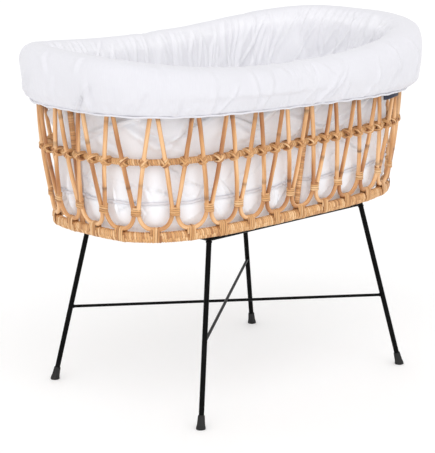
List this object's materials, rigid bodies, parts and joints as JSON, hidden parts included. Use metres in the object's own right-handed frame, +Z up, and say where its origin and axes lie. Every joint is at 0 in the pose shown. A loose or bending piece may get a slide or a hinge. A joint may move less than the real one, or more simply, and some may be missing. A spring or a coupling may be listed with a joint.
{
  "type": "moses basket",
  "caption": "Oval rattan moses basket of tied hairpin loops with a padded white cotton lining and mattress, lifted off a black steel rod stand with splayed legs.",
  "frame": {"origin": "on the floor, under the middle of the stand", "axes": "+X along the basket towards its head end, -Y towards the front long side, +Z up"},
  "size_m": [0.918, 0.556, 0.7672],
  "materials": {
    "black_steel": "satin black powder coat",
    "rubber": "matt",
    "rattan": "natural cane with dark nodes, clear satin lacquer",
    "cane_wrap": "split cane wrapped round the rings, satin",
    "white_cotton": "padded white cotton, plain weave",
    "lining_cotton": "thin white cotton, plain weave",
    "label_cloth": "plain dark woven tape"
  },
  "bodies": {
    "stand": {"front_rail": "black_steel", "back_rail": "black_steel", "foot_end_rail": "black_steel", "head_end_rail": "black_steel", "front_foot_end_leg": "black_steel", "front_head_end_leg": "black_steel", "back_head_end_leg": "black_steel", "back_foot_end_leg": "black_steel", "front_foot_end_foot_cap": "rubber", "front_head_end_foot_cap": "rubber", "back_head_end_foot_cap": "rubber", "back_foot_end_foot_cap": "rubber", "lower_stretcher": "black_steel", "upper_stretcher": "black_steel"},
    "basket": {"base_ring": "cane_wrap", "mid_ring": "cane_wrap", "top_rim": "cane_wrap", "loop_01": "rattan", "loop_02": "rattan", "loop_03": "rattan", "loop_04": "rattan", "loop_05": "rattan", "loop_06": "rattan", "loop_07": "rattan", "loop_08": "rattan", "loop_09": "rattan", "loop_10": "rattan", "loop_11": "rattan", "loop_12": "rattan", "loop_13": "rattan", "loop_14": "rattan", "loop_15": "rattan", "loop_16": "rattan", "loop_17": "rattan", "loop_18": "rattan", "loop_19": "rattan", "loop_20": "rattan", "loop_21": "rattan", "loop_22": "rattan", "loop_23": "rattan", "loop_24": "rattan", "loop_25": "rattan", "loop_26": "rattan", "loop_27": "rattan", "loop_28": "rattan", "loop_29": "rattan", "front_post": "rattan", "head_end_post": "rattan", "back_post": "rattan", "foot_end_post": "rattan", "base_slat_1": "rattan", "base_slat_2": "rattan", "base_slat_3": "rattan", "base_slat_4": "rattan", "base_slat_5": "rattan", "lining": "lining_cotton", "bumper": "white_cotton", "label_tab": "label_cloth"},
    "mattress": {"mattress": "white_cotton"}
  },
  "joints": [
    {"name": "basket_lift", "type": "slide", "parent": "stand", "child": "basket", "axis": [0, 0, 1], "range_m": [0, 0.2]},
    {"name": "mattress_lift", "type": "slide", "parent": "basket", "child": "mattress", "axis": [0, 0, 1], "range_m": [0, 0.38]}
  ]
}
